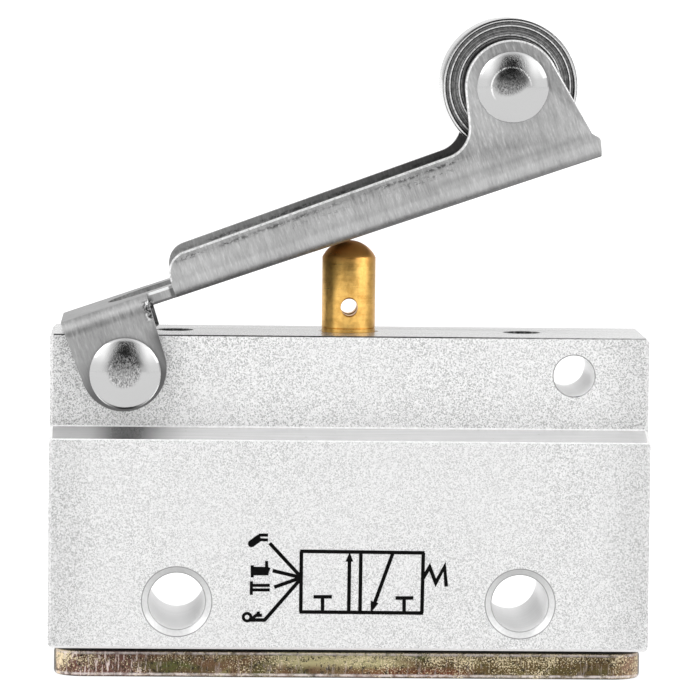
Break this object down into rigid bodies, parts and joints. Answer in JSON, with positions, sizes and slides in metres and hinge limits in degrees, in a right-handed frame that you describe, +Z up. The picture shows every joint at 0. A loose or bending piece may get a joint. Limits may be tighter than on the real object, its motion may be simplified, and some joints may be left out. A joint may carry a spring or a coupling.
{
  "type": "roller lever air valve",
  "caption": "Mechanical air valve: a roller on a hinged lever presses a plunger that opens a spring-closed poppet in an aluminium block with threaded ports.",
  "frame": {"origin": "middle of the underside of the bottom plate, which is the plane that the valve stands on", "axes": "+Z up, out of the plunger; +X from the lever's pivot towards its roller; the printed front face looks along -Y"},
  "size_m": [0.07, 0.025, 0.0769],
  "materials": {
    "block": "bead-blasted, clear anodised",
    "plate": "yellow zinc chromate",
    "screws": "zinc plated",
    "seals": "moulded nitrile",
    "brass_parts": "turned",
    "plunger": "turned",
    "springs": "drawn wire",
    "lever": "brushed across the length",
    "rivets": "bright nickel",
    "roller": "turned, polished tread",
    "bush": "sintered bronze"
  },
  "bodies": {
    "block": {"valve_body": "block", "bottom_plate": "plate", "plate_screw_1": "screws", "plate_screw_2": "screws", "plate_screw_3": "screws", "plate_screw_4": "screws", "cover_oring": "seals", "seat_insert": "brass_parts", "seat_oring": "seals", "seat_sleeve": "brass_parts", "guide_bush": "brass_parts", "plunger_oring": "seals", "plunger_spring": "springs", "poppet_spring": "springs"},
    "lever": {"lever_arm": "lever", "hinge_rivet": "rivets", "roller_axle": "rivets", "roller_spacer_front": "roller", "roller_spacer_back": "roller"},
    "roller": {"roller": "roller", "roller_bush": "bush"},
    "plunger": {"plunger": "plunger"},
    "poppet": {"poppet": "brass_parts", "poppet_seal": "seals"}
  },
  "joints": [
    {"name": "lever_pivot", "type": "hinge", "parent": "block", "child": "lever", "pos_m": [-0.0262, 0, 0.03535], "axis": [0, 1, 0], "range_deg": [0, 7.5], "stiffness_Nm_per_rad": 0.6, "springref_deg": -11.46},
    {"name": "roller_spin", "type": "hinge", "parent": "lever", "child": "roller", "pos_m": [0.0185, 0, 0.06904], "axis": [0, 1, 0], "continuous": true},
    {"name": "plunger_slide", "type": "slide", "parent": "block", "child": "plunger", "axis": [0, 0, -1], "range_m": [0, 0.0039], "stiffness_N_per_m": 20, "springref_m": -0.005, "deforming": ["plunger_spring"]},
    {"name": "poppet_slide", "type": "slide", "parent": "block", "child": "poppet", "axis": [0, 0, -1], "range_m": [0, 0.003], "stiffness_N_per_m": 10, "springref_m": -0.004, "deforming": ["poppet_spring"]}
  ],
  "couplings": [
    {"joint": "plunger_slide", "follows": "lever_pivot", "m_per_rad": 0.0295},
    {"joint": "poppet_slide", "follows": "lever_pivot", "m_per_rad": 0.0224}
  ]
}
